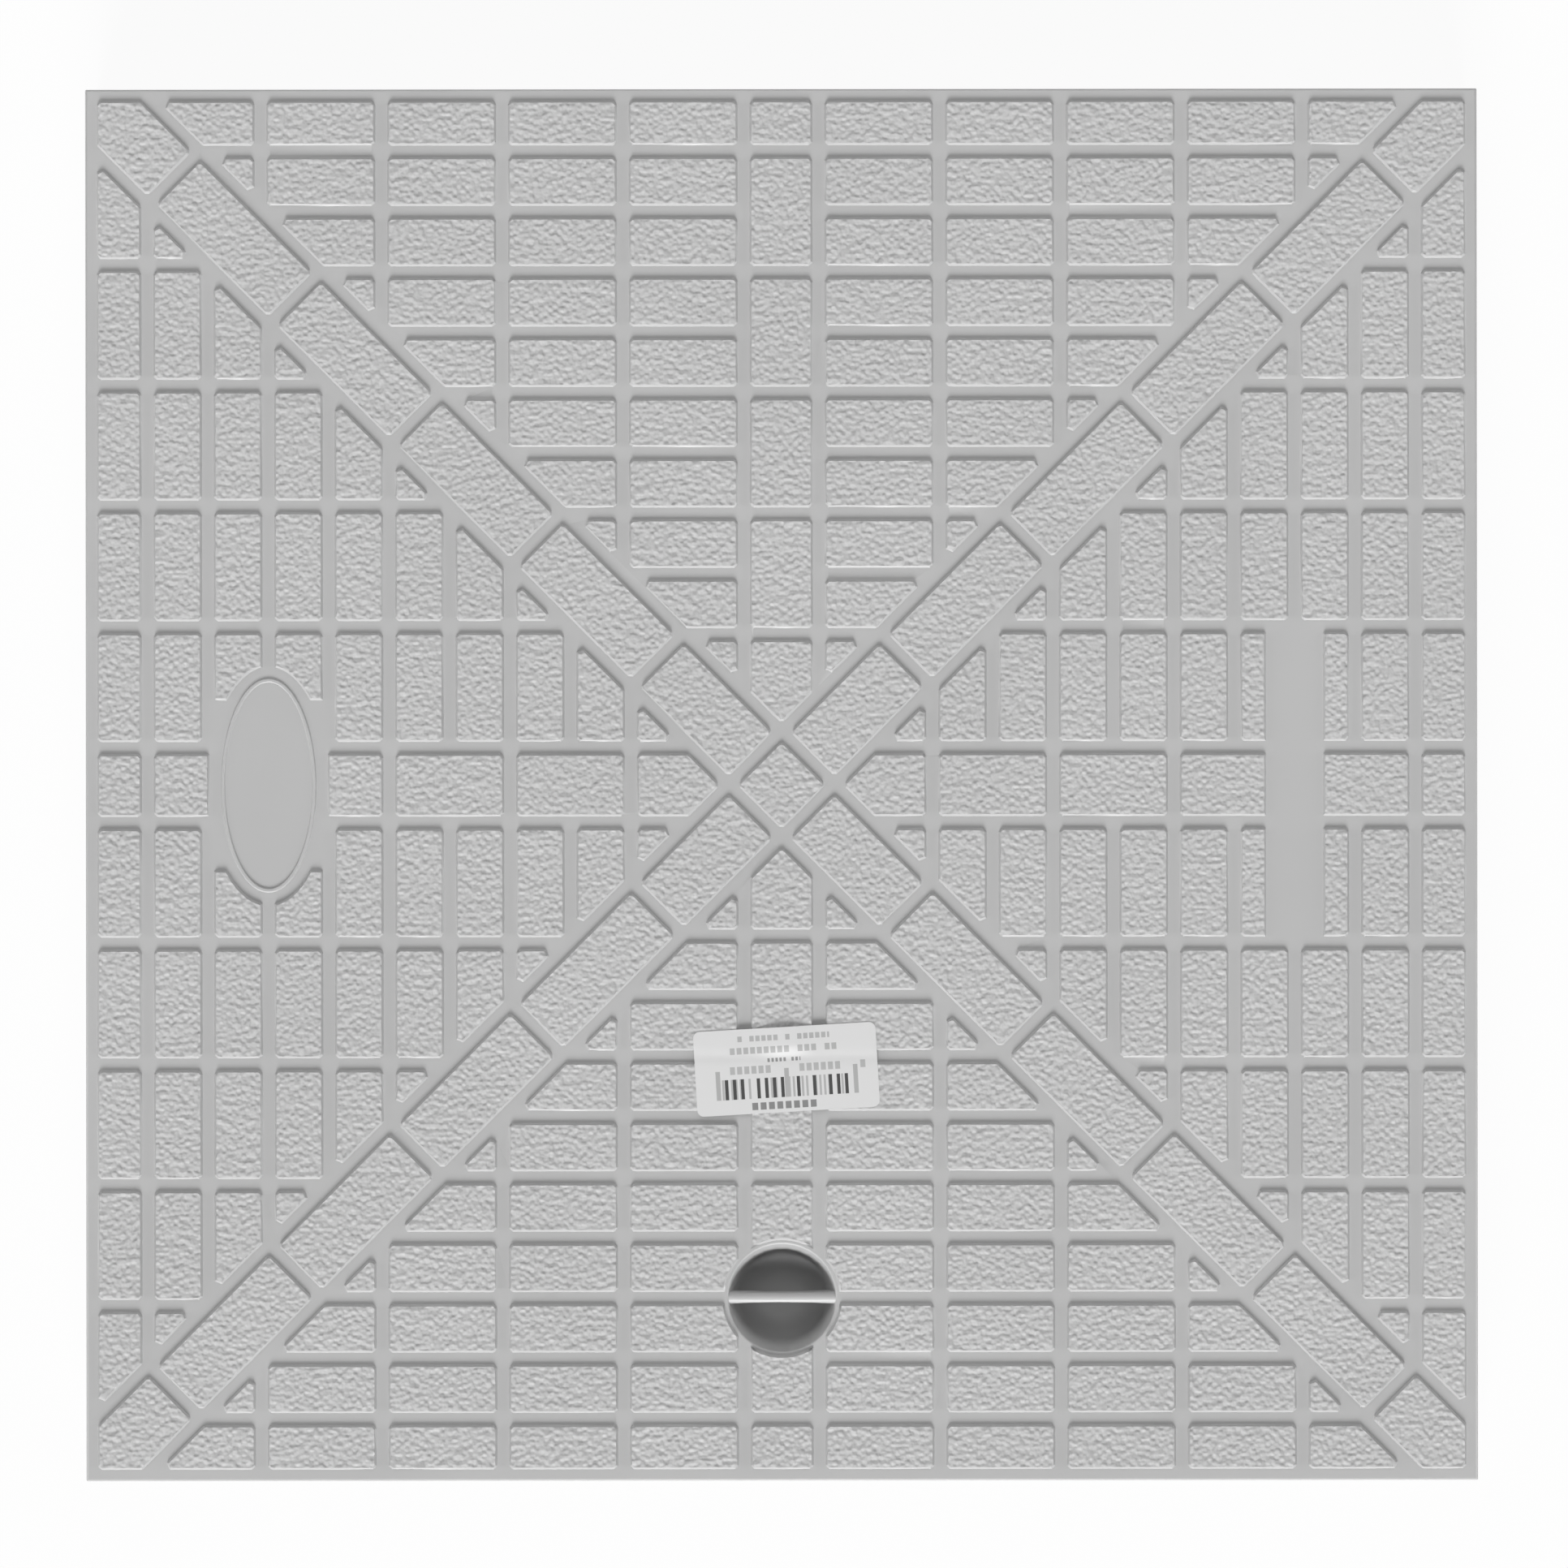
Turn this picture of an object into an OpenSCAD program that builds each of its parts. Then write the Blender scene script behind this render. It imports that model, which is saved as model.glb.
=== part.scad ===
// Square inspection cover for a buried chamber in a footpath, moulded in one piece.
// The top carries a tread of raised bricks in four fields that meet along the diagonals,
// a round lifting cup with a bar across it, a plain oval and a plain strip. Below there is
// a skirt and a lattice of ribs. A paper label lies on the tread.
// X and Y lie in the plane of the cover and Z is up. The origin is in the middle of the
// plane that the skirt stands on.

/* [Cover] */
// Side of the square cover
cover_w = 400; // [360:1:440]
// Height from the lower edge of the skirt to the top of the tread
cover_h = 35; // [33:0.5:45]
// Thickness of the top plate at the bottom of the grooves
plate_t = 3.2; // [2.5:0.1:5]
// Thickness of the skirt
skirt_t = 3.6; // [2.5:0.1:5]
// Radius of the skirt's four upright corners
corner_r = 0.5; // [0.3:0.1:3]
// Radius along the skirt's top edge
edge_r = 0.8; // [0.4:0.1:1.4]

/* [Tread] */
// Height of a brick above the grooves
tread_h = 1; // [0.6:0.1:1.6]
// Short side of a brick, from groove centre to groove centre. A brick is twice as long
brick_w = 17.35; // [16:0.05:19]
// Width of a groove at half its depth
groove_w = 4; // [3:0.1:5]
// Width of the rows along the centre lines and diagonals, from groove centre to groove centre
lane_w = 21.5; // [18:0.1:24]
// Plain margin between the tread and the edge of the cover
margin = 3.65; // [3:0.05:5]
// Width of a brick's sloping side, seen from above
slope_w = 0.6; // [0.4:0.1:1.2]
// Radius of a brick's corners at half its height
brick_r = 1.4; // [1:0.1:1.8]

/* [Lifting cup] */
// Groove on which the cup, the oval and the strip are centred, counted from the middle
feature_row = 6; // [5:1:6]
// Diameter of the cup at its mouth
cup_d = 31; // [28:0.5:34]
// Depth of the cup below the grooves
cup_depth = 22; // [18:0.5:25]
// Thickness of the cup's wall and floor
cup_t = 2.5; // [2:0.1:3.5]
// How much narrower the cup is at its floor
cup_taper = 8; // [2:0.5:9]
// Radius of the cup's rim
rim_r = 0.6; // [0.4:0.1:1.2]
// Radius between the cup's wall and its floor
floor_r = 9; // [2:0.5:9]
// Width of the plain land round the cup
cup_land_w = 1.4; // [1.2:0.1:3]
// Width of the bar at the wall of the cup
bar_w = 3.6; // [3:0.1:5]
// Width that each side of the bar loses towards its middle
bar_waist = 0.5; // [0.2:0.1:0.8]
// Height of the bar
bar_h = 8; // [5:0.5:10]
// How far the top of the bar lies below the grooves
bar_drop = 0.3; // [0.2:0.1:1]

/* [Oval and strip] */
// Length of the oval line, over its outer edge
oval_l = 61.4; // [56:0.2:64]
// Width of the oval line, over its outer edge
oval_w = 27.2; // [24:0.2:29]
// Width of the raised line at half its height
line_w = 1; // [0.8:0.1:1.4]
// Height of the raised line
line_h = 0.5; // [0.3:0.1:0.8]
// Width of the plain land outside the oval line
oval_land_w = 3.7; // [2:0.1:4.5]
// Length of the plain flanks on both sides of the oval
flank_l = 49.4; // [44:0.2:54]
// Width of the plain strip on the opposite side
strip_w = 17; // [14:0.5:20]

/* [Ribs] */
// Number of rib cells along each side
cells = 10; // [10:1:12]
// Thickness of a rib at its lower edge
rib_t = 2.4; // [2:0.1:3]
// Thickness of a rib at the plate
rib_root_t = 3.2; // [3:0.1:4]
// Distance from the lower edge of the skirt up to the ribs
rib_lift = 2; // [1:0.5:3]

/* [Label] */
// Length of the paper label
label_l = 52.5; // [40:0.5:60]
// Width of the paper label
label_w = 24.4; // [18:0.2:30]
// Thickness of the paper label
label_t = 0.15; // [0.1:0.01:0.3]
// Radius of the label's corners
label_r = 1.9; // [1:0.1:3]
// Sideways place of the label's middle
label_x = 1.3; // [-10:0.1:10]
// Lengthways place of the label's middle
label_y = -81.7; // [-90:0.1:-70]
// Turn of the label
label_turn = 3.3; // [0:0.1:10]

/* [Hidden] */
$fn = 64;
root2 = sqrt(2);
groove_z = cover_h - tread_h;
gap = groove_w / 2;
lane = lane_w / 2;
tread_edge = cover_w / 2 - margin;
tip_y = lane * (1 + root2);
rows = round((tread_edge - tip_y) / brick_w);
feature_y = row_y(feature_row);
cup_r = cup_d / 2;
cup_tilt = atan(cup_taper / 2 / cup_depth);
cup_shift = 1 / cos(cup_tilt) - tan(cup_tilt);
bend_x = cup_r - cup_taper / 2 - floor_r * cup_shift;
rim_x = cup_r + rim_r * cup_shift;
bend_steps = 5;
rim_steps = 4;
bar_end = 0.3;
inner_w = cover_w - 2 * skirt_t;
cell_pitch = (inner_w + rib_t) / cells;
bury = 0.4;
over = 1;
oval_points = 96;
least_side = 1;
least_area = 9;

// The pattern's lines

// Height of row groove k of a field, where row -1 is the tip between two diagonals
function row_y(k) = tip_y + brick_w * (k + 1);

// Distance from the middle of the cover to cross groove m of a diagonal
function cross_y(m) = row_y(2 * m) * root2 - lane;

// Top of the bricks in row k, which reach the margin in the last row
function row_top(k) = k == rows - 1 ? tread_edge : row_y(k) - gap;

// Outlines, as lists of points that run anticlockwise

function rectangle(x0, y0, x1, y1) = [[x0, y0], [x1, y0], [x1, y1], [x0, y1]];

function ellipse(rx, ry, n) = [for (i = [0 : n - 1]) [rx * cos(360 * i / n), ry * sin(360 * i / n)]];

// The part of an outline where the point's reach along a direction is at most d
function clip(outline, direction, d) = [
    for (i = [0 : len(outline) - 1])
        let (
            a = outline[i],
            b = outline[(i + 1) % len(outline)],
            past_a = direction * a - d,
            past_b = direction * b - d
        )
        each concat(
            past_a <= 0 ? [a] : [],
            past_a * past_b < 0 ? [a + (b - a) * past_a / (past_a - past_b)] : []
        )
];

// The outline without its shortest sides
function tidy(outline) = [
    for (i = [0 : 1 : len(outline) - 1])
        if (norm(outline[(i + 1) % len(outline)] - outline[i]) > least_side)
            outline[i]
];

function area(outline) = len(outline) < 3 ? 0 : 0.5 * abs(sum([
    for (i = [0 : len(outline) - 1])
        let (a = outline[i], b = outline[(i + 1) % len(outline)])
        a.x * b.y - b.x * a.y
]));

function sum(list) = list * [for (value = list) 1];

function outward(a, b) = [b.y - a.y, a.x - b.x] / norm(b - a);

// The outline with each side moved inwards by d
function inset(outline, d) = [
    for (i = [0 : len(outline) - 1])
        let (
            n = len(outline),
            before = outward(outline[(i + n - 1) % n], outline[i]),
            after = outward(outline[i], outline[(i + 1) % n])
        )
        outline[i] - d * (before + after) / (1 + before * after)
];

// The outline with one flat at each corner, which touches a round of radius r
function blunt(outline, r) = [
    for (i = [0 : len(outline) - 1])
        let (
            n = len(outline),
            back = outline[(i + n - 1) % n] - outline[i],
            ahead = outline[(i + 1) % n] - outline[i],
            turn = 180 - acos(back * ahead / norm(back) / norm(ahead)),
            wanted = r * (tan(turn / 2) - tan(turn / 4)),
            cut = min(wanted, norm(back) * 0.4, norm(ahead) * 0.4)
        )
        each [
            outline[i] + back / norm(back) * cut,
            outline[i] + ahead / norm(ahead) * cut
        ]
];

// Solids

// A solid between two outlines that have the same number of points
module frustum(low, low_z, high, high_z) {
    n = len(low);
    points = concat(
        [for (p = low) [p.x, p.y, low_z]],
        [for (p = high) [p.x, p.y, high_z]]
    );
    faces = concat(
        [[for (i = [0 : n - 1]) i]],
        [[for (i = [n - 1 : -1 : 0]) n + i]],
        [for (i = [0 : n - 1]) [i, n + i, n + (i + 1) % n, (i + 1) % n]]
    );
    polyhedron(points, faces);
}

// A raised brick, whose outline is given at half its height
module brick(outline) {
    kept = tidy(outline);
    spread = slope_w / 2 + bury * slope_w / tread_h;
    if (area(kept) > least_area)
        frustum(
            blunt(inset(kept, -spread), brick_r + spread),
            groove_z - bury,
            blunt(inset(kept, slope_w / 2), brick_r - slope_w / 2),
            cover_h
        );
}

// A clearing in the tread, whose outline is given at half the bricks' height
module clearing(outline) {
    low_spread = slope_w / 2 + (bury + over) * slope_w / tread_h;
    high_spread = slope_w / 2 + over * slope_w / tread_h;
    frustum(
        inset(outline, low_spread),
        groove_z - bury - over,
        inset(outline, -high_spread),
        cover_h + over
    );
}

// The bricks on one side of a field's centre row
module half_field() {
    reach = (lane + gap) * root2;
    for (k = [0 : rows - 1]) {
        y0 = row_y(k - 1) + gap;
        y1 = row_top(k);
        last = floor((y1 - reach - lane) / (2 * brick_w));
        for (j = [0 : 1 : last]) {
            x0 = lane + 2 * brick_w * j + gap;
            x1 = lane + 2 * brick_w * (j + 1) - gap;
            brick(clip(rectangle(x0, y0, x1, y1), [1, -1], -reach));
        }
    }
}

// The bricks along a field's centre row, with a point towards the middle of the cover
module centre_row() {
    half = lane - gap;
    reach = (lane + gap) * root2;
    square_end = rectangle(-half, 0, half, row_top(0));
    brick(clip(clip(square_end, [1, -1], -reach), [-1, -1], -reach));
    for (m = [0 : ceil(rows / 2) - 1]) {
        y0 = row_y(2 * m) + gap;
        y1 = min(row_y(2 * m + 2) - gap, tread_edge);
        if (y1 - y0 > groove_w)
            brick(rectangle(-half, y0, half, y1));
    }
}

// The bricks along one diagonal, laid out along Y before they are turned
module diagonal_row() {
    half = lane - gap;
    last = floor((rows - 1) / 2);
    corner_y = tread_edge * root2;
    brick(rectangle(-half, lane + gap, half, cross_y(0) - gap));
    for (m = [0 : 1 : last - 1])
        brick(rectangle(-half, cross_y(m) + gap, half, cross_y(m + 1) - gap));
    corner = rectangle(-half, cross_y(last) + gap, half, corner_y);
    brick(clip(clip(corner, [1, 1], corner_y), [-1, 1], corner_y));
}

module field() {
    half_field();
    mirror([1, 0, 0]) half_field();
    centre_row();
    rotate(45) diagonal_row();
}

module all_bricks() {
    for (quarter = [0 : 3])
        rotate(90 * quarter) field();
    rotate(45) brick(rectangle(gap - lane, gap - lane, lane - gap, lane - gap));
}

// The clearing round the cup, as a cone that keeps the slope of the bricks
module cup_clearing() {
    land_r = cup_r + cup_land_w;
    steep = slope_w / tread_h;
    low_z = groove_z - bury - over;
    high_z = cover_h + over;
    middle_z = groove_z + tread_h / 2;
    translate([0, -feature_y, low_z])
        cylinder(
            h = high_z - low_z,
            r1 = land_r - (middle_z - low_z) * steep,
            r2 = land_r + (high_z - middle_z) * steep
        );
}

// The clearing round the oval, with flanks that cut the tips of the bricks beside it
module oval_clearing() {
    rx = oval_w / 2 + oval_land_w;
    ry = oval_l / 2 + oval_land_w;
    translate([-feature_y, 0, 0]) {
        clearing(ellipse(rx, ry, oval_points));
        clearing(rectangle(-rx, -flank_l / 2, rx, flank_l / 2));
    }
}

// The strip runs between the second grooves on each side of the centre row
module strip_clearing() {
    half_w = strip_w / 2;
    half_l = lane + 2 * brick_w;
    translate([feature_y, 0, 0]) clearing(rectangle(-half_w, -half_l, half_w, half_l));
}

module tread() {
    difference() {
        all_bricks();
        cup_clearing();
        oval_clearing();
        strip_clearing();
    }
}

// The raised line of the oval, with both of its sides sloping like a brick's
module oval_line() {
    steep = slope_w / tread_h;
    outer = ellipse(oval_w / 2, oval_l / 2, oval_points);
    inner = inset(outer, line_w);
    half = line_h / 2 * steep;
    translate([-feature_y, 0, groove_z])
        difference() {
            frustum(inset(outer, -half - bury * steep), -bury, inset(outer, half), line_h);
            frustum(
                inset(inner, half + (bury + over) * steep),
                -bury - over,
                inset(inner, -half - over * steep),
                line_h + over
            );
        }
}

// The outer form of the cover up to the bottom of the grooves
module block() {
    half = cover_w / 2 - corner_r;
    difference() {
        linear_extrude(groove_z) {
            square([cover_w, 2 * half], center = true);
            square([2 * half, cover_w], center = true);
            for (x = [-half, half], y = [-half, half])
                translate([x, y]) circle(corner_r);
        }
        for (quarter = [0 : 3])
            rotate(90 * quarter) edge_round();
    }
}

// What the round along one top edge takes away
module edge_round() {
    translate([-cover_w / 2 - over, cover_w / 2 - edge_r, groove_z - edge_r])
        rotate([90, 0, 90])
            linear_extrude(cover_w + 2 * over)
                difference() {
                    square(edge_r + over);
                    circle(edge_r);
                }
}

// The hollow between two ribs and their neighbours, narrower towards the plate
module cell() {
    depth = groove_z - plate_t - rib_lift;
    low = (cell_pitch - rib_t) / 2;
    high = (cell_pitch - rib_root_t) / 2;
    below = low + over * (low - high) / depth;
    frustum(
        rectangle(-below, -below, below, below),
        rib_lift - over,
        rectangle(-high, -high, high, high),
        groove_z - plate_t
    );
}

module underside() {
    translate([-inner_w / 2, -inner_w / 2, -over])
        cube([inner_w, inner_w, rib_lift + over]);
    for (i = [0 : cells - 1], j = [0 : cells - 1]) {
        x = (i - (cells - 1) / 2) * cell_pitch;
        y = (j - (cells - 1) / 2) * cell_pitch;
        translate([x, y, 0]) cell();
    }
}

// The outline of the cup from its floor up to its wall, at a distance outside the hollow
function cup_bend(spread) = [
    for (i = [0 : bend_steps])
        let (a = (90 - cup_tilt) * i / bend_steps, r = floor_r + spread)
        [bend_x + r * sin(a), floor_r - cup_depth - r * cos(a)]
];

// Radius of the cup's wall at a height above the grooves, at a distance outside the hollow
function wall_x(spread, z) = cup_r + spread / cos(cup_tilt) + z * tan(cup_tilt);

// A round solid on the cup's axis, which reaches from the cup's floor up to a height
module round_solid(floor_z, outline, top_x, top_z) {
    translate([0, -feature_y, groove_z])
        rotate_extrude()
            polygon(concat([[0, floor_z]], outline, [[top_x, top_z], [0, top_z]]));
}

// The cup's outer wall, which stands among the ribs
module cup_body() {
    top_z = -plate_t / 2;
    round_solid(-cup_depth - cup_t, cup_bend(cup_t), wall_x(cup_t, top_z), top_z);
}

// The hollow of the cup, with a round between its floor and its wall and another at its rim
module cup_hollow() {
    rim = [
        for (i = [0 : rim_steps])
            let (a = cup_tilt + (90 - cup_tilt) * i / rim_steps)
            [rim_x - rim_r * cos(a), rim_r * (sin(a) - 1)]
    ];
    round_solid(-cup_depth, concat(cup_bend(0), rim), rim_x, over);
}

// The bar across the cup, round on top and waisted between its ends, which lie in the cup's wall
module bar() {
    low_z = groove_z - bar_drop - bar_h;
    length = cup_d + 2 * cup_t;
    waist_r = (pow(cup_r, 2) + pow(bar_waist, 2)) / (2 * bar_waist);
    top_r = bar_w / 2;
    spread = cup_t - bar_end;
    intersection() {
        round_solid(-cup_depth - spread, cup_bend(spread), wall_x(spread, over), over);
        translate([0, -feature_y, low_z])
            difference() {
                rotate([90, 0, 90])
                    translate([0, 0, -length / 2])
                        linear_extrude(length) {
                            translate([-top_r, 0]) square([bar_w, bar_h - top_r]);
                            translate([0, bar_h - top_r]) circle(top_r);
                        }
                for (side = [-1, 1])
                    translate([0, side * (top_r - bar_waist + waist_r), -over])
                        cylinder(h = bar_h + 2 * over, r = waist_r, $fn = 720);
            }
    }
}

module cover() {
    color("#b8b8b8") {
        difference() {
            union() {
                difference() {
                    block();
                    underside();
                }
                cup_body();
            }
            cup_hollow();
        }
        bar();
        tread();
        oval_line();
    }
}

module label() {
    x = label_l / 2 - label_r;
    y = label_w / 2 - label_r;
    color("#f4f4f2")
        translate([label_x, label_y, cover_h])
            rotate(label_turn)
                linear_extrude(label_t) {
                    square([label_l, 2 * y], center = true);
                    square([2 * x, label_w], center = true);
                    for (i = [-x, x], j = [-y, y])
                        translate([i, j]) circle(label_r);
                }
}

cover();
label();
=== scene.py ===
"""Looks of a square inspection cover: the moulding with its soft edges, the paper label and a stage."""

import math

import bmesh
import bpy
from bpy.props import FloatProperty, FloatVectorProperty, PointerProperty
from mathutils import Matrix, Vector


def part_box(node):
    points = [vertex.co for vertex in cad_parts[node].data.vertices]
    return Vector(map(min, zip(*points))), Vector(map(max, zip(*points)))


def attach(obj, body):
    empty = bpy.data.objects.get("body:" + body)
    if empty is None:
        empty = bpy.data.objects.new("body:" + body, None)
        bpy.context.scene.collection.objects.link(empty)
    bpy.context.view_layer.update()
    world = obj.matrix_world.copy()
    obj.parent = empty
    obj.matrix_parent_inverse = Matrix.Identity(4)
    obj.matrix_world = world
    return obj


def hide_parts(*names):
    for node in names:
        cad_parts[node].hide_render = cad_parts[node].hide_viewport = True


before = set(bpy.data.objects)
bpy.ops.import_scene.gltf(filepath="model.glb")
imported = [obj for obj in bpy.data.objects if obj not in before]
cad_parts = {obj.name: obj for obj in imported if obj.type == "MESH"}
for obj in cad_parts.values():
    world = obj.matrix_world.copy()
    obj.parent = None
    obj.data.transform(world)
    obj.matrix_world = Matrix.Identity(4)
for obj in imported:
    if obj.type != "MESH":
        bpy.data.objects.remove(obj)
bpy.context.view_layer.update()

bl_info = {
    "name": "Inspection Cover",
    "version": (1, 0, 0),
    "blender": (4, 5, 0),
    "location": "View3D > Sidebar > Inspection Cover",
    "description": "Finishes a moulded inspection cover, lays its label and sets its stage",
    "category": "Add Mesh",
}

MM = 0.001

# Vertices closer than this are one
MERGE_DISTANCE = 0.002 * MM
# Bevels of short edges leave faces narrower than this, which are closed up
CRUMB = 0.01 * MM
# Faces that turn by less than this are joined
FLAT_ANGLE = math.radians(0.3)
# Edges that turn by more than this are softened
FOLD_ANGLE = math.radians(15)
# Edges that turn by more than this are shaded sharp
SHARP_ANGLE = math.radians(32)

# Heights in the moulding, as in the construction
BRICK_H = 1 * MM
LINE_H = 0.5 * MM
PLATE_T = 3.2 * MM
RIB_LIFT = 2 * MM

# Levels that the edges of the moulding are found by
TOP_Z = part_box("cover")[1][2]
GROOVE_Z = TOP_Z - BRICK_H
LINE_Z = GROOVE_Z + LINE_H
PLATE_Z = GROOVE_Z - PLATE_T
RIB_Z = RIB_LIFT
FOOT_Z = 0
LEVEL_SLACK = 0.01 * MM

# The raised line of the oval is lower than a brick, and its soft edge is this share of a brick's
LINE_SHARE = 0.6

# The lifting cup, as in the construction: its place, its radius at the top and the lean of its wall
CUP_Y = -147.4 * MM
CUP_R = 15.5 * MM
CUP_LEAN = 4 / 22

# The upper part of the cup's wall that is flared, and the rings that it is cut into
FLARE_DEPTH = 14 * MM
FLARE_RINGS = 8
# The faces of the wall reach this far below the flare
WALL_MARGIN = 4 * MM
# The wall's vertices and faces lie this close to the cone of the construction
WALL_SLACK = 0.1 * MM
FACE_SLACK = 0.2 * MM

# Size and place of the label, as in the construction
LABEL_L = 52.5 * MM
LABEL_W = 24.4 * MM
LABEL_R = 1.9 * MM
LABEL_TURN = math.radians(3.3)
LABEL_CENTRE = sum((Vector(corner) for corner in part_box("label")), Vector()) / 2

# The paper, its distance from the bricks, and the cells that let it bend
PAPER_T = 0.12 * MM
PAPER_GAP = 0.03 * MM
CELLS_ALONG = 50
CELLS_ACROSS = 36
ROUND_STEPS = 5

# Grooves that the label spans: one across the cover and two along it
GROOVE_Y = -78.0 * MM
GROOVE_X = 10.75 * MM
# How far the sag reaches on each side of a groove, and its share over the grooves along the cover
SAG_REACH = 1.5 * MM
SAG_ALONG = 0.6

# The loose part of the label's upper edge: half its length, and the lines between which it rises
LOOSE_REACH = 9.5 * MM
LOOSE_START = 3 * MM
LOOSE_END = 7 * MM

# The grain fades in between these two depths below the top of a brick
GRAIN_START = 0.15 * MM
GRAIN_FULL = 0.02 * MM
# The noise mostly keeps within a quarter of its range, so its bump is this much taller than the grain
NOISE_GAIN = 4

# Widths and depths of the fine patterns, and the width of the uneven tone
SATIN_W = 0.45 * MM
SATIN_DEPTH = 0.008 * MM
FIBRE_W = 0.8 * MM
FIBRE_DEPTH = 0.01 * MM
CLOUD_W = 45 * MM

# Painted light: the grained tops of the bricks are painted this many times as light as the grooves, to
# make up for the shade of their grain
TOP_PAINTED_LIGHT = 1.055

# The floor: how many metres it reaches on each side, and how white the camera sees it over its shadow
FLOOR_REACH = 5
WHITE_SHARE = 0.93
WHITE = (1, 1, 1, 1)

# The picture: its width in the plane of the grooves, the place in its middle, and its turn
VIEW_W = 450.6 * MM
VIEW_X = 0.7 * MM
VIEW_Y = 0.25 * MM
VIEW_TURN = math.radians(-0.06)
# The width of the camera's sensor in millimetres, and how many metres it sees
SENSOR_W = 36
CLIP_END = 20

# Lamps: name, setting, elevation, azimuth and spread in degrees. Azimuth 0 is in front of the cover
# and 90 on its right
LAMPS = (
    ("key_light", "key", 28, -3, 30),
    ("left_light", "left", 12, -85, 40),
    ("right_light", "right", 12, 85, 40),
    ("far_light", "far", 45, 180, 60),
)


def linear(code):
    """The linear colour of an sRGB hex value."""
    shares = [int(code[i : i + 2], 16) / 255 for i in (1, 3, 5)]
    return tuple(s / 12.92 if s <= 0.04045 else ((s + 0.055) / 1.055) ** 2.4 for s in shares)


class MouldingSettings(bpy.types.PropertyGroup):
    """Colour, grain and soft edges of the moulding."""

    colour: FloatVectorProperty(
        name="Plastic",
        description="Colour of the polypropylene",
        subtype="COLOR",
        min=0,
        max=1,
        default=linear("#B3B3B3"),
    )
    grain_w: FloatProperty(
        name="Grain width",
        description="Width of one wrinkle of the grain on the bricks",
        default=1.38 * MM,
        min=0.2 * MM,
        unit="LENGTH",
        precision=5,
    )
    grain_depth: FloatProperty(
        name="Grain depth",
        description="Depth of the grain on the bricks",
        default=0.195 * MM,
        min=0,
        unit="LENGTH",
        precision=5,
    )
    corner_round: FloatProperty(
        name="Brick corners",
        description="How far the round of a brick's corner runs past each of its two upright edges",
        default=0.37 * MM,
        min=0,
        unit="LENGTH",
        precision=5,
    )
    rim_round: FloatProperty(
        name="Brick rims",
        description="Width of the soft edge round the top of a brick",
        default=0.18 * MM,
        min=0,
        unit="LENGTH",
        precision=5,
    )
    foot_round: FloatProperty(
        name="Brick feet",
        description="Width of the hollow round the foot of a brick",
        default=0.2 * MM,
        min=0,
        unit="LENGTH",
        precision=5,
    )
    cup_flare: FloatProperty(
        name="Cup flare",
        description="How far the cup's wall that faces the front leans in, most at half its depth",
        default=0.4 * MM,
        min=0,
        max=1 * MM,
        unit="LENGTH",
        precision=5,
    )
    rib_round: FloatProperty(
        name="Rib edges",
        description="Width of the soft edges and hollows of the ribs",
        default=0.4 * MM,
        min=0,
        unit="LENGTH",
        precision=5,
    )


class LabelSettings(bpy.types.PropertyGroup):
    """Paper, ink and lie of the label."""

    paper: FloatVectorProperty(
        name="Paper",
        description="Colour of the paper",
        subtype="COLOR",
        min=0,
        max=1,
        default=linear("#D4D4D4"),
    )
    ink: FloatVectorProperty(
        name="Ink",
        description="Colour of the print where it is darkest",
        subtype="COLOR",
        min=0,
        max=1,
        default=linear("#262626"),
    )
    sag: FloatProperty(
        name="Sag",
        description="How far the paper sags into the grooves below it",
        default=0.12 * MM,
        min=0,
        unit="LENGTH",
        precision=5,
    )
    lift: FloatProperty(
        name="Lift",
        description="How far the middle of the upper edge has come loose",
        default=0.9 * MM,
        min=0,
        unit="LENGTH",
        precision=5,
    )


class StageSettings(bpy.types.PropertyGroup):
    """Floor, light and camera."""

    floor: FloatVectorProperty(
        name="Floor",
        description="Colour of the floor",
        subtype="COLOR",
        min=0,
        max=1,
        default=linear("#E8E8E8"),
    )
    distance: FloatProperty(
        name="Camera distance",
        description="Height of the camera above the tread",
        default=2.0,
        min=0.5,
        unit="LENGTH",
    )
    ambient: FloatProperty(
        name="Ambient light",
        description="Share of the light that comes from all round",
        default=0.05,
        min=0,
    )
    key: FloatProperty(
        name="Key light",
        description="Strength of the low light in front of the cover",
        default=1.23,
        min=0,
    )
    left: FloatProperty(
        name="Left light",
        description="Strength of the low light on the left of the cover",
        default=0.34,
        min=0,
    )
    right: FloatProperty(
        name="Right light",
        description="Strength of the low light on the right of the cover",
        default=0.31,
        min=0,
    )
    far: FloatProperty(
        name="Far light",
        description="Strength of the wide light behind the cover",
        default=0.35,
        min=0,
    )


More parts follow.
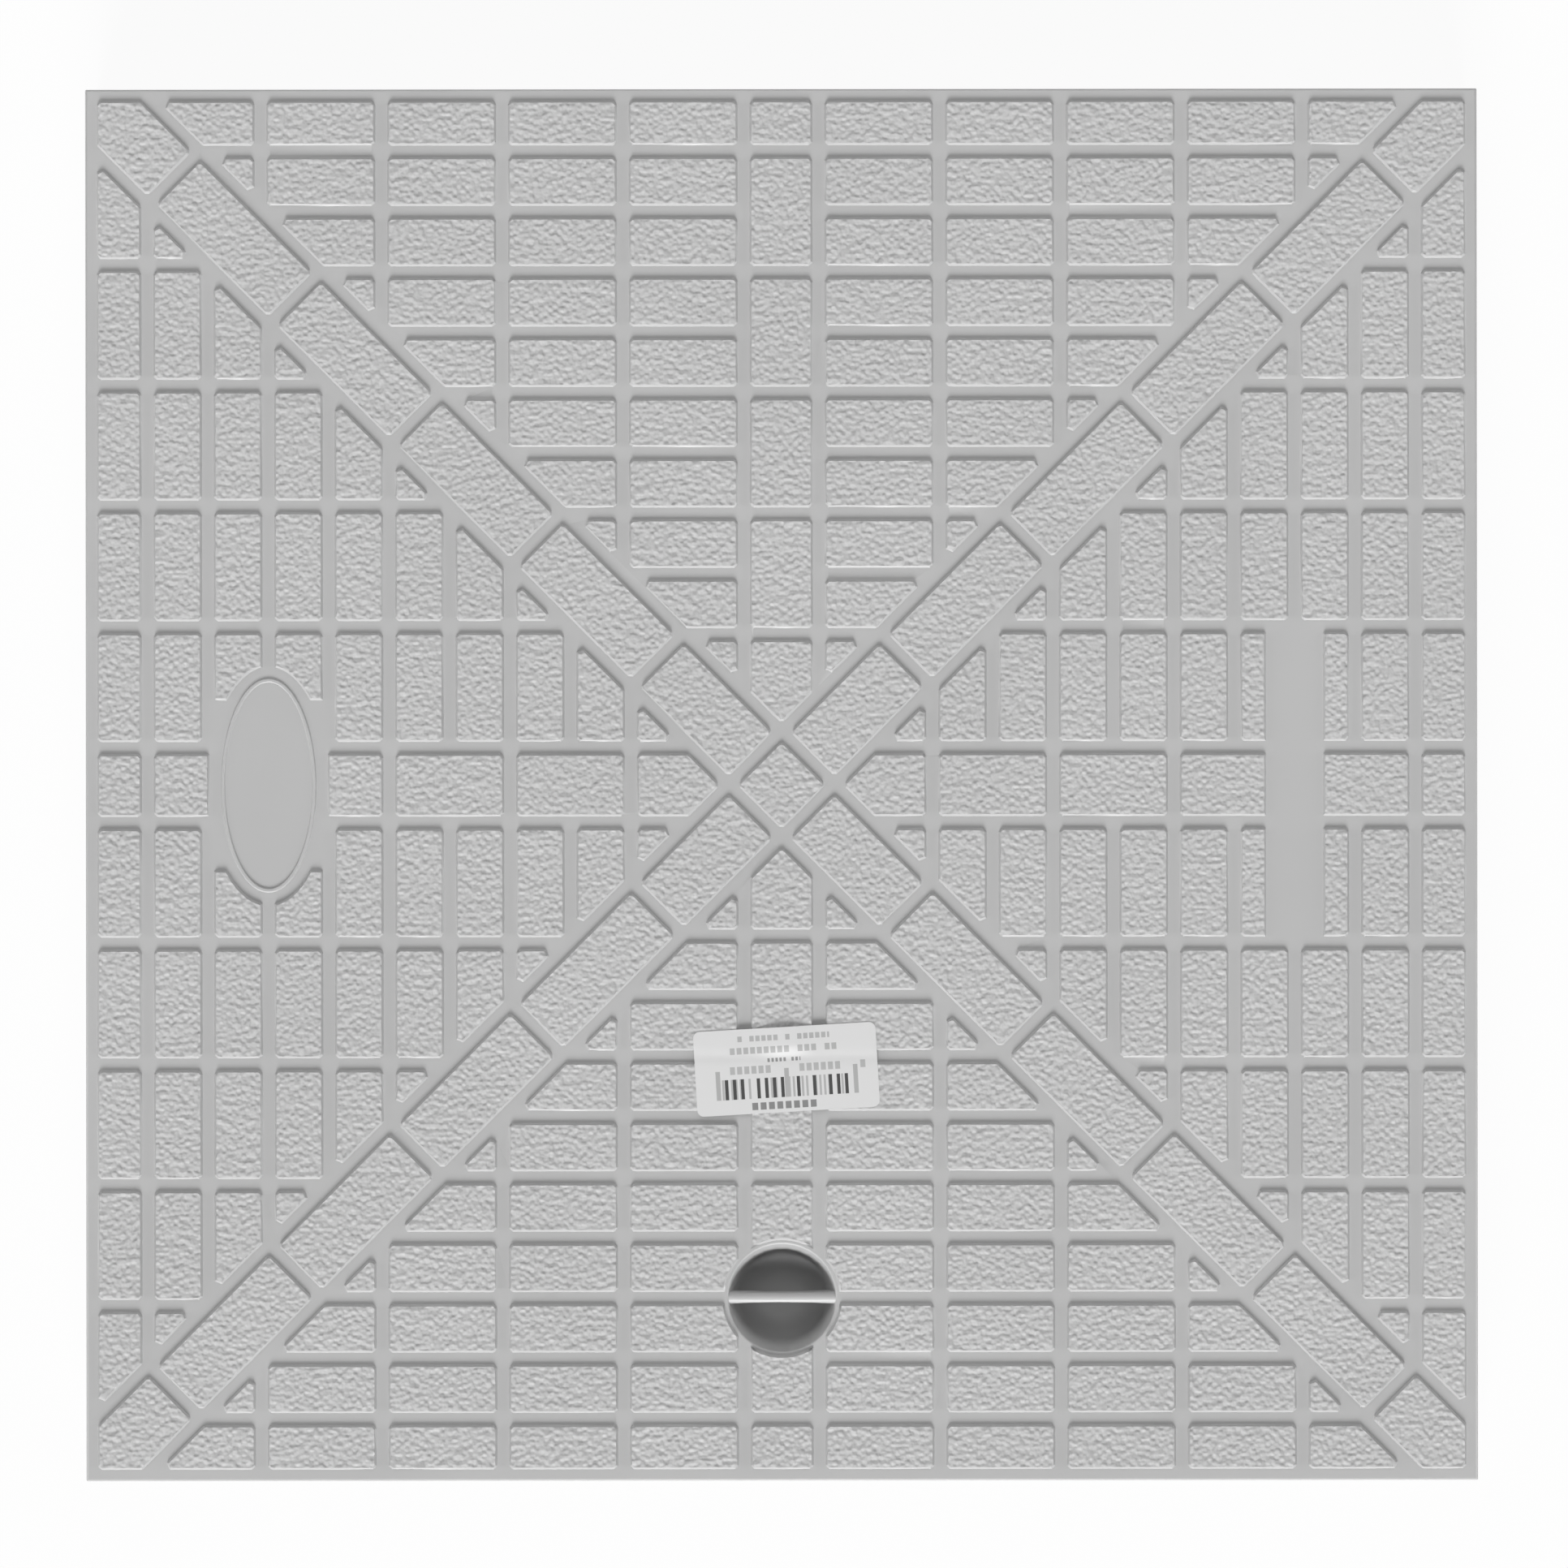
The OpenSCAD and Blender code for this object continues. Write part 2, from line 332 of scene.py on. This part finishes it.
# Print of the label as rows of upright marks, in millimetres from its middle: place of a row along and
# across the label, its length and height, the pitch of its marks, the share of the pitch that a mark
# fills, the share of marks that are left out, the strength of the ink, and a seed
PRINT = (
    (-0.35, 9.37, 26.4, 1.6, 1.72, 0.72, 0.12, 0.4, 11),
    (-0.43, 5.97, 31.0, 1.9, 1.95, 0.72, 0.12, 0.4, 47),
    (-0.53, 2.94, 9.5, 1.1, 1.15, 0.6, 0.1, 0.65, 150),
    (-10.04, 0.4, 12.3, 2.2, 2.05, 0.7, 0, 0.38, 80),
    (9.93, 0.4, 12.3, 2.2, 2.05, 0.7, 0, 0.38, 95),
    (22.04, 0.47, 1.5, 2.2, 2.05, 0.7, 0, 0.38, 130),
    (-19.78, -3.75, 1.3, 8.3, 2, 1, 0, 0.42, 210),
    (0, -3.75, 1.3, 8.3, 2, 1, 0, 0.42, 220),
    (19.78, -3.75, 1.3, 8.3, 2, 1, 0, 0.42, 230),
    (0, -5, 37.4, 5.8, 1.27, 0.5, 0.3, 0.4, 310),
    (0.3, -5, 36.4, 5.8, 2.3, 0.42, 0.4, 0.97, 420),
    (-0.78, -10.13, 19.2, 2.1, 2.4, 0.7, 0, 0.7, 170),
)


# Materials


def put(tree, kind, inputs=(), **settings):
    """Adds a node with its settings, and feeds its inputs with values or with other nodes' outputs."""
    made = tree.nodes.new(kind)
    for name, value in settings.items():
        setattr(made, name, value)
    for name, value in dict(inputs).items():
        if isinstance(value, bpy.types.NodeSocket):
            tree.links.new(value, made.inputs[name])
        else:
            made.inputs[name].default_value = value
    return made


def new_material(name):
    """A material with an empty node tree."""
    material = bpy.data.materials.new(name)
    material.use_nodes = True
    material.node_tree.nodes.clear()
    return material


def moulded_polypropylene(settings):
    """Injection-moulded polypropylene: satin, slightly uneven in its colour, grained on the bricks, and
    with painted light on the brick tops.
    """
    # The mould's polish gives the grooves an even satin. Only the tops of the bricks were etched in
    # the mould, which gives them a leathery grain that the low light picks out.
    material = new_material("moulded_polypropylene")
    tree = material.node_tree
    place = put(tree, "ShaderNodeTexCoord").outputs["Object"]
    height = put(tree, "ShaderNodeSeparateXYZ", {0: place}).outputs["Z"]
    on_brick = put(
        tree,
        "ShaderNodeMapRange",
        {"Value": height, "From Min": TOP_Z - GRAIN_START, "From Max": TOP_Z - GRAIN_FULL},
        interpolation_type="SMOOTHSTEP",
    ).outputs["Result"]
    wrinkles = put(
        tree,
        "ShaderNodeTexNoise",
        {"Vector": place, "Scale": 1 / settings.grain_w, "Detail": 0.4, "Roughness": 0.4},
    ).outputs["Fac"]
    centred = put(tree, "ShaderNodeMath", {0: wrinkles, 1: 0.5}, operation="SUBTRACT").outputs[0]
    grain = put(tree, "ShaderNodeMath", {0: centred, 1: on_brick}, operation="MULTIPLY").outputs[0]
    grain_bump = put(
        tree,
        "ShaderNodeBump",
        {"Height": grain, "Strength": 1, "Distance": settings.grain_depth * NOISE_GAIN},
    ).outputs["Normal"]
    # The satin left by the polish is finer in fact, and is drawn as coarse as it needs to show
    satin = put(
        tree,
        "ShaderNodeTexNoise",
        {"Vector": place, "Scale": 1 / SATIN_W, "Detail": 1, "Roughness": 0.5},
    ).outputs["Fac"]
    normal = put(
        tree,
        "ShaderNodeBump",
        {"Height": satin, "Strength": 0.5, "Distance": SATIN_DEPTH, "Normal": grain_bump},
    ).outputs["Normal"]
    # A large moulding cools unevenly, which leaves soft clouds in its tone
    cloud = put(
        tree,
        "ShaderNodeTexNoise",
        {"Vector": place, "Scale": 1 / CLOUD_W, "Detail": 2, "Roughness": 0.5},
    ).outputs["Fac"]
    uneven = put(
        tree,
        "ShaderNodeMapRange",
        {"Value": cloud, "From Min": 0.3, "From Max": 0.7, "To Min": 0.975, "To Max": 1.02},
    ).outputs["Result"]
    # Painted light: the tops of the bricks are painted lighter than the grooves, and the soft clouds of
    # the moulding are multiplied in
    painted_top_light = put(
        tree,
        "ShaderNodeMapRange",
        {"Value": on_brick, "To Min": 1, "To Max": TOP_PAINTED_LIGHT},
    ).outputs["Result"]
    clouds_and_painted_light = put(tree, "ShaderNodeMath", {0: uneven, 1: painted_top_light}, operation="MULTIPLY").outputs[0]
    colour = put(
        tree,
        "ShaderNodeMix",
        {0: 1.0, 6: (*settings.colour, 1), 7: clouds_and_painted_light},
        data_type="RGBA",
        blend_type="MULTIPLY",
    ).outputs[2]
    # The etched tops scatter the light more than the polished grooves
    roughness = put(
        tree,
        "ShaderNodeMapRange",
        {"Value": on_brick, "To Min": 0.42, "To Max": 0.56},
    ).outputs["Result"]
    shader = put(
        tree,
        "ShaderNodeBsdfPrincipled",
        {"Base Color": colour, "Roughness": roughness, "IOR": 1.49, "Normal": normal},
    )
    put(tree, "ShaderNodeOutputMaterial", {"Surface": shader.outputs[0]})
    return material


def marks(tree, place, row):
    """The ink of one row of the print, from 0 to its strength."""
    u, v, length, height, pitch, share, left_out, strength, seed = row
    start = u - length / 2
    along = put(
        tree,
        "ShaderNodeMapRange",
        {"Value": place["X"], "From Min": start * MM, "From Max": (start + pitch) * MM},
        clamp=False,
    ).outputs["Result"]
    block = put(tree, "ShaderNodeMath", {0: along}, operation="FRACT").outputs[0]
    number = put(tree, "ShaderNodeMath", {0: along}, operation="FLOOR").outputs[0]
    lot = put(tree, "ShaderNodeMath", {0: number, 1: seed}, operation="ADD").outputs[0]
    drawn = put(tree, "ShaderNodeTexWhiteNoise", {"W": lot}, noise_dimensions="1D").outputs["Value"]
    inked = put(tree, "ShaderNodeMath", {0: drawn, 1: left_out}, operation="GREATER_THAN").outputs[0]
    bands = (
        (place["X"], u * MM, length * MM),
        (place["Y"], v * MM, height * MM),
        (block, share / 2, share),
    )
    for value, middle, width in bands:
        inside = put(
            tree,
            "ShaderNodeMath",
            {0: value, 1: middle, 2: width / 2},
            operation="COMPARE",
        ).outputs[0]
        inked = put(tree, "ShaderNodeMath", {0: inked, 1: inside}, operation="MULTIPLY").outputs[0]
    return put(tree, "ShaderNodeMath", {0: inked, 1: strength}, operation="MULTIPLY").outputs[0]


def printed_paper(settings):
    """Label paper: matt, a little grey with dust, with bars and rows of marks printed on it."""
    # The fibres keep the light soft, and the print is a thin matt ink: a field of upright bars of
    # chance widths between three longer ones, with rows of plain marks above and below it
    material = new_material("label_paper")
    tree = material.node_tree
    spot = put(tree, "ShaderNodeTexCoord").outputs["Object"]
    local = put(
        tree,
        "ShaderNodeMapping",
        {"Vector": spot, "Location": LABEL_CENTRE, "Rotation": (0, 0, LABEL_TURN)},
        vector_type="TEXTURE",
    ).outputs["Vector"]
    place = put(tree, "ShaderNodeSeparateXYZ", {0: local}).outputs
    ink = marks(tree, place, PRINT[0])
    for row in PRINT[1:]:
        added = marks(tree, place, row)
        ink = put(tree, "ShaderNodeMath", {0: ink, 1: added}, operation="MAXIMUM").outputs[0]
    colour = put(
        tree,
        "ShaderNodeMix",
        {0: ink, 6: (*settings.paper, 1), 7: (*settings.ink, 1)},
        data_type="RGBA",
    ).outputs[2]
    fibres = put(
        tree,
        "ShaderNodeTexNoise",
        {"Vector": spot, "Scale": 1 / FIBRE_W, "Detail": 2, "Roughness": 0.6},
    ).outputs["Fac"]
    normal = put(
        tree,
        "ShaderNodeBump",
        {"Height": fibres, "Strength": 0.5, "Distance": FIBRE_DEPTH},
    ).outputs["Normal"]
    shader = put(
        tree,
        "ShaderNodeBsdfPrincipled",
        {"Base Color": colour, "Roughness": 0.6, "IOR": 1.45, "Normal": normal},
    )
    put(tree, "ShaderNodeOutputMaterial", {"Surface": shader.outputs[0]})
    return material


def in_view(tree):
    """A mask for what the camera sees, straight or mirrored in a glossy surface."""
    ray = put(tree, "ShaderNodeLightPath").outputs
    rays = {0: ray["Is Camera Ray"], 1: ray["Is Glossy Ray"]}
    return put(tree, "ShaderNodeMath", rays, operation="MAXIMUM").outputs[0]


def painted_board(settings):
    """Board with a pale matt paint: it has no gloss, and looks white where no shadow falls."""
    # The camera sees mostly plain white, and a little of the paint with the shadow on it
    material = new_material("painted_floor_board")
    tree = material.node_tree
    share = put(
        tree,
        "ShaderNodeMath",
        {0: in_view(tree), 1: WHITE_SHARE},
        operation="MULTIPLY",
    ).outputs[0]
    board = put(tree, "ShaderNodeBsdfDiffuse", {"Color": (*settings.floor, 1)}).outputs[0]
    white = put(tree, "ShaderNodeEmission", {"Color": WHITE, "Strength": 1}).outputs[0]
    shader = put(tree, "ShaderNodeMixShader", {0: share, 1: board, 2: white}).outputs[0]
    put(tree, "ShaderNodeOutputMaterial", {"Surface": shader})
    return material


# Meshes


def merged_copy(node):
    """A bmesh of a CAD node with its triangles joined into whole faces."""
    form = bmesh.new()
    form.from_mesh(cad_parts[node].data)
    bmesh.ops.remove_doubles(form, verts=form.verts, dist=MERGE_DISTANCE)
    bmesh.ops.dissolve_limit(form, angle_limit=FLAT_ANGLE, verts=form.verts, edges=form.edges)
    return form


def edges_at(form, low_z, high_z):
    """The folded edges that run between two levels."""

    def fits(edge):
        heights = sorted(v.co.z for v in edge.verts)
        near = abs(heights[0] - low_z) < LEVEL_SLACK and abs(heights[1] - high_z) < LEVEL_SLACK
        return near and edge.calc_face_angle(0) > FOLD_ANGLE

    return [edge for edge in form.edges if fits(edge)]


def soften(form, edges, width):
    """Bevels edges by the same width."""
    if not edges:
        raise RuntimeError("the edges to soften weren't found")
    bmesh.ops.bevel(
        form,
        geom=edges,
        offset=width,
        offset_type="OFFSET",
        segments=2,
        profile=0.5,
        affect="EDGES",
        clamp_overlap=True,
        material=-1,
    )


def finish_piece(form, name, material, node):
    """Makes a piece of a bmesh, which stands for a CAD node and rides where that node does."""
    mesh = bpy.data.meshes.new(name)
    form.to_mesh(mesh)
    form.free()
    mesh.materials.append(material)
    mesh.shade_smooth()
    mesh.set_sharp_from_angle(angle=SHARP_ANGLE)
    piece = bpy.data.objects.new(name, mesh)
    bpy.context.scene.collection.objects.link(piece)
    shading = piece.modifiers.new("even_shading", "WEIGHTED_NORMAL")
    shading.keep_sharp = True
    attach(piece, "root")
    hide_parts(node)
    return piece


# The moulding


def flat_width(edge):
    """Length of the shorter top side of the two faces that meet along an upright edge."""
    top = max(edge.verts, key=lambda v: v.co.z)
    rims = [e for e in top.link_edges if all(abs(v.co.z - TOP_Z) < LEVEL_SLACK for v in e.verts)]
    return min((e.calc_length() for e in rims), default=0)


def cup_place(point):
    """Depth of a point in the cup, its distance from the wall, and the way from the wall to the axis."""
    across = Vector((point.x, point.y - CUP_Y, 0))
    depth = GROOVE_Z - point.z
    return depth, across.length - CUP_R + depth * CUP_LEAN, -across.normalized()


def flare_cup(form, flare):
    """Leans the upper part of the cup's wall in, on the side that faces the front."""

    def on_wall(vertex):
        depth, off, _ = cup_place(vertex.co)
        return -LEVEL_SLACK < depth < FLARE_DEPTH + WALL_MARGIN and abs(off) < FACE_SLACK

    for i in range(1, FLARE_RINGS + 1):
        wall = [face for face in form.faces if all(on_wall(v) for v in face.verts)]
        parts = dict.fromkeys(part for face in wall for part in (*face.verts, *face.edges, face))
        bmesh.ops.bisect_plane(
            form,
            geom=list(parts),
            dist=MERGE_DISTANCE,
            plane_co=(0, 0, GROOVE_Z - FLARE_DEPTH * i / FLARE_RINGS),
            plane_no=(0, 0, 1),
        )
    moved = 0
    for vertex in form.verts:
        depth, off, inward = cup_place(vertex.co)
        if 0 < depth < FLARE_DEPTH and abs(off) < WALL_SLACK and inward.y < 0:
            share = math.sin(math.pi * depth / FLARE_DEPTH) * inward.y**2
            vertex.co += inward * (flare * share)
            moved += 1
    if not moved:
        raise RuntimeError("the wall of the cup wasn't found")


class INSPECTIONCOVER_OT_moulding(bpy.types.Operator):
    """Softens the edges of the moulding and gives it its grained plastic"""

    bl_idname = "inspectioncover.moulding"
    bl_label = "Moulding"

    def execute(self, context):
        settings = context.scene.moulding_settings
        form = merged_copy("cover")
        uprights = [
            edge
            for edge in edges_at(form, GROOVE_Z, TOP_Z)
            if flat_width(edge) > 2 * settings.corner_round
        ]
        soften(form, uprights, settings.corner_round)
        soften(form, edges_at(form, TOP_Z, TOP_Z), settings.rim_round)
        soften(form, edges_at(form, GROOVE_Z, GROOVE_Z), settings.foot_round)
        feet = [vertex for vertex in form.verts if abs(vertex.co.z - GROOVE_Z) < LEVEL_SLACK]
        bmesh.ops.remove_doubles(form, verts=feet, dist=CRUMB)
        soften(form, edges_at(form, LINE_Z, LINE_Z), settings.rim_round * LINE_SHARE)
        # The edges of the ribs meet in the corners of the cells, so they are bevelled together
        levels = ((RIB_Z, PLATE_Z), (PLATE_Z, PLATE_Z), (RIB_Z, RIB_Z))
        soften(form, [edge for pair in levels for edge in edges_at(form, *pair)], settings.rib_round)
        soften(form, edges_at(form, FOOT_Z, FOOT_Z), settings.rib_round)
        flare_cup(form, settings.cup_flare)
        material = moulded_polypropylene(settings)
        finish_piece(form, "cover_moulding", material, "cover")
        return {"FINISHED"}


# The label


def smooth_step(low, high, value):
    """A soft rise from 0 to 1 between two values."""
    share = min(max((value - low) / (high - low), 0), 1)
    return share * share * (3 - 2 * share)


def label_height(settings, local, place):
    """Height of the paper above its flat lie, at a point of the label and of the cover."""
    row = math.exp(-(((place.y - GROOVE_Y) / SAG_REACH) ** 2))
    column = math.exp(-(((abs(place.x) - GROOVE_X) / SAG_REACH) ** 2))
    along = max(1 - (local.x / LOOSE_REACH) ** 2, 0) ** 2
    loose = along * smooth_step(LOOSE_START, LOOSE_END, local.y)
    return settings.lift * loose - settings.sag * max(row, SAG_ALONG * column) * (1 - loose)


class INSPECTIONCOVER_OT_label(bpy.types.Operator):
    """Lays the printed paper label over the bricks and the grooves between them"""

    bl_idname = "inspectioncover.label"
    bl_label = "Label"

    def execute(self, context):
        settings = context.scene.label_settings
        form = bmesh.new()
        size = Matrix.Diagonal((LABEL_L, LABEL_W, 1, 1))
        bmesh.ops.create_grid(form, x_segments=1, y_segments=1, size=0.5, matrix=size)
        bmesh.ops.bevel(
            form,
            geom=form.verts[:],
            offset=LABEL_R,
            segments=ROUND_STEPS,
            profile=0.5,
            affect="VERTICES",
            material=-1,
        )
        if len(form.faces) != 1:
            raise RuntimeError("the outline of the label isn't one face")
        cuts = (
            (Vector((1, 0, 0)), LABEL_L, CELLS_ALONG),
            (Vector((0, 1, 0)), LABEL_W, CELLS_ACROSS),
        )
        for axis, length, cells in cuts:
            for i in range(1, cells):
                bmesh.ops.bisect_plane(
                    form,
                    geom=form.verts[:] + form.edges[:] + form.faces[:],
                    dist=MERGE_DISTANCE,
                    plane_co=axis * length * (i / cells - 0.5),
                    plane_no=axis,
                )
        turn = Matrix.Rotation(LABEL_TURN, 4, "Z")
        flat = Vector((LABEL_CENTRE.x, LABEL_CENTRE.y, TOP_Z + PAPER_GAP))
        for vertex in form.verts:
            local = vertex.co.copy()
            vertex.co = flat + turn @ local
            vertex.co.z += label_height(settings, local, vertex.co)
        sheet = bmesh.ops.extrude_face_region(form, geom=form.faces[:])["geom"]
        for part in sheet:
            if isinstance(part, bmesh.types.BMVert):
                part.co.z += PAPER_T
        bmesh.ops.recalc_face_normals(form, faces=form.faces)
        finish_piece(form, "paper_label", printed_paper(settings), "label")
        return {"FINISHED"}


# The stage


def add_sun(name, level, elevation, azimuth, spread):
    """Adds a wide, even light that shines from one side."""
    data = bpy.data.lights.new(name, "SUN")
    data.energy = level * math.pi
    data.angle = math.radians(spread)
    lamp = bpy.data.objects.new(name, data)
    turn = math.radians(azimuth)
    rise = math.radians(elevation)
    toward = Vector((math.sin(turn) * math.cos(rise), -math.cos(turn) * math.cos(rise), math.sin(rise)))
    lamp.rotation_euler = toward.to_track_quat("Z", "Y").to_euler()
    bpy.context.scene.collection.objects.link(lamp)


class INSPECTIONCOVER_OT_stage(bpy.types.Operator):
    """Adds the floor, the lights and the camera"""

    bl_idname = "inspectioncover.stage"
    bl_label = "Stage"

    def execute(self, context):
        settings = context.scene.stage_settings
        scene = context.scene
        if "cover_moulding" not in bpy.data.objects:
            raise RuntimeError("the stage is set after the moulding")
        form = bmesh.new()
        bmesh.ops.create_grid(form, x_segments=1, y_segments=1, size=FLOOR_REACH)
        mesh = bpy.data.meshes.new("floor")
        form.to_mesh(mesh)
        form.free()
        mesh.materials.append(painted_board(settings))
        floor = bpy.data.objects.new("floor", mesh)
        scene.collection.objects.link(floor)

        for name, setting, elevation, azimuth, spread in LAMPS:
            add_sun(name, getattr(settings, setting), elevation, azimuth, spread)

        world = bpy.data.worlds.new("studio")
        world.use_nodes = True
        tree = world.node_tree
        tree.nodes.clear()
        around = put(tree, "ShaderNodeBackground", {"Color": WHITE, "Strength": settings.ambient})
        behind = put(tree, "ShaderNodeBackground", {"Color": WHITE, "Strength": 1})
        mixed = put(
            tree,
            "ShaderNodeMixShader",
            {0: in_view(tree), 1: around.outputs[0], 2: behind.outputs[0]},
        )
        put(tree, "ShaderNodeOutputWorld", {"Surface": mixed.outputs[0]})
        scene.world = world

        data = bpy.data.cameras.new("camera")
        data.sensor_width = SENSOR_W
        data.lens = SENSOR_W * settings.distance / VIEW_W
        data.clip_end = CLIP_END
        camera = bpy.data.objects.new("camera", data)
        camera.location = (VIEW_X, VIEW_Y, GROOVE_Z + settings.distance)
        camera.rotation_euler = (0, 0, VIEW_TURN)
        scene.collection.objects.link(camera)
        scene.camera = camera
        scene.view_settings.view_transform = "Standard"
        return {"FINISHED"}


# The sidebar


class INSPECTIONCOVER_PT_sidebar(bpy.types.Panel):
    """Lists the pieces of the cover and its stage, with their settings."""

    bl_idname = "INSPECTIONCOVER_PT_sidebar"
    bl_label = "Inspection Cover"
    bl_space_type = "VIEW_3D"
    bl_region_type = "UI"
    bl_category = "Inspection Cover"

    def draw(self, context):
        scene = context.scene
        groups = (
            ("inspectioncover.moulding", scene.moulding_settings),
            ("inspectioncover.label", scene.label_settings),
            ("inspectioncover.stage", scene.stage_settings),
        )
        for operator, settings in groups:
            box = self.layout.box()
            box.operator(operator)
            for name in settings.__annotations__:
                box.prop(settings, name)


CLASSES = (
    MouldingSettings,
    LabelSettings,
    StageSettings,
    INSPECTIONCOVER_OT_moulding,
    INSPECTIONCOVER_OT_label,
    INSPECTIONCOVER_OT_stage,
    INSPECTIONCOVER_PT_sidebar,
)


def register():
    for cls in CLASSES:
        bpy.utils.register_class(cls)
    bpy.types.Scene.moulding_settings = PointerProperty(type=MouldingSettings)
    bpy.types.Scene.label_settings = PointerProperty(type=LabelSettings)
    bpy.types.Scene.stage_settings = PointerProperty(type=StageSettings)


def unregister():
    del bpy.types.Scene.stage_settings
    del bpy.types.Scene.label_settings
    del bpy.types.Scene.moulding_settings
    for cls in reversed(CLASSES):
        bpy.utils.unregister_class(cls)


def main():
    """Makes the pieces and the stage."""
    register()
    bpy.ops.inspectioncover.moulding()
    bpy.ops.inspectioncover.label()
    bpy.ops.inspectioncover.stage()


if __name__ == "__main__":
    main()
